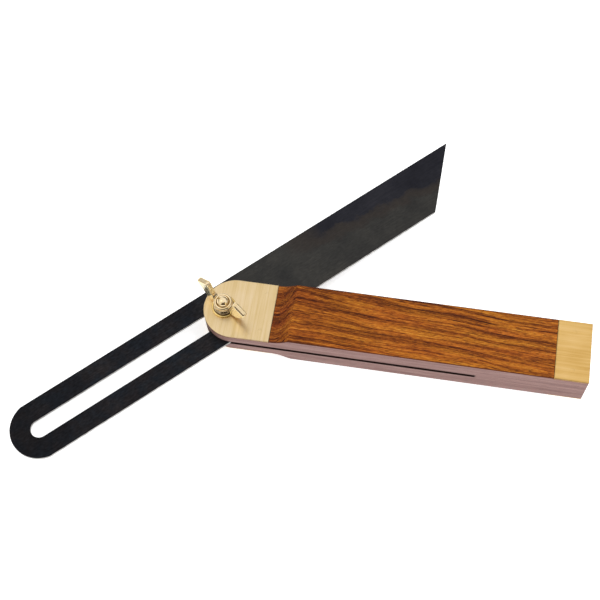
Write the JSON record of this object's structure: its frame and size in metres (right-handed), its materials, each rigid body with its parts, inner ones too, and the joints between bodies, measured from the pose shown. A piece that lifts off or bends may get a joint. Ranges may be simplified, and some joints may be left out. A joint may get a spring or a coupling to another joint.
{
  "type": "sliding bevel",
  "caption": "Adjustable bevel gauge: a slotted blade turns and slides in the kerf of a brass-plated wooden stock and is locked by a wing nut.",
  "frame": {"origin": "on the stock's flat back face, on its centre line, 90 mm tailward of the pivot axis", "axes": "+X along the stock from the pivot to the tail, +Z out of the front face on the wing nut's side, +Y to the edge that the blade's point swings out of"},
  "size_m": [0.2302, 0.1718, 0.0284],
  "materials": {
    "wood": "oiled and polished on the faces, planed on the edges",
    "satin_brass": "satin, brushed one way",
    "polished_brass": "polished",
    "blued_steel": "blued, thin lighter edges"
  },
  "bodies": {
    "stock": {"stock": "wood", "head_plate_front": "satin_brass", "head_plate_back": "satin_brass", "tail_plate_front": "satin_brass", "tail_plate_back": "satin_brass", "head_pin_front_near": "satin_brass", "head_pin_front_far": "satin_brass", "head_pin_back_near": "satin_brass", "head_pin_back_far": "satin_brass", "tail_pin_front_near": "satin_brass", "tail_pin_front_far": "satin_brass", "tail_pin_back_near": "satin_brass", "tail_pin_back_far": "satin_brass", "pivot_screw": "polished_brass"},
    "slot_bush": {"slot_bush": "polished_brass"},
    "blade": {"blade": "blued_steel"},
    "washer": {"washer": "polished_brass"},
    "wing_nut": {"wing_nut": "polished_brass"}
  },
  "joints": [
    {"name": "blade_swing", "type": "hinge", "parent": "stock", "child": "slot_bush", "pos_m": [-0.09, 0, 0.0092], "axis": [0, 0, 1], "range_deg": [-29, 300]},
    {"name": "blade_slide", "type": "slide", "parent": "slot_bush", "child": "blade", "axis": [0.7242, 0.6896, 0], "range_m": [-0.004, 0.09]},
    {"name": "nut_travel", "type": "slide", "parent": "stock", "child": "washer", "axis": [0, 0, 1], "range_m": [0, 0.0032]},
    {"name": "nut_turn", "type": "hinge", "parent": "washer", "child": "wing_nut", "pos_m": [-0.09, 0, 0.0092], "axis": [0, 0, 1], "range_deg": [0, 1440]}
  ],
  "couplings": [
    {"joint": "nut_turn", "follows": "nut_travel", "rad_per_m": 7854}
  ]
}
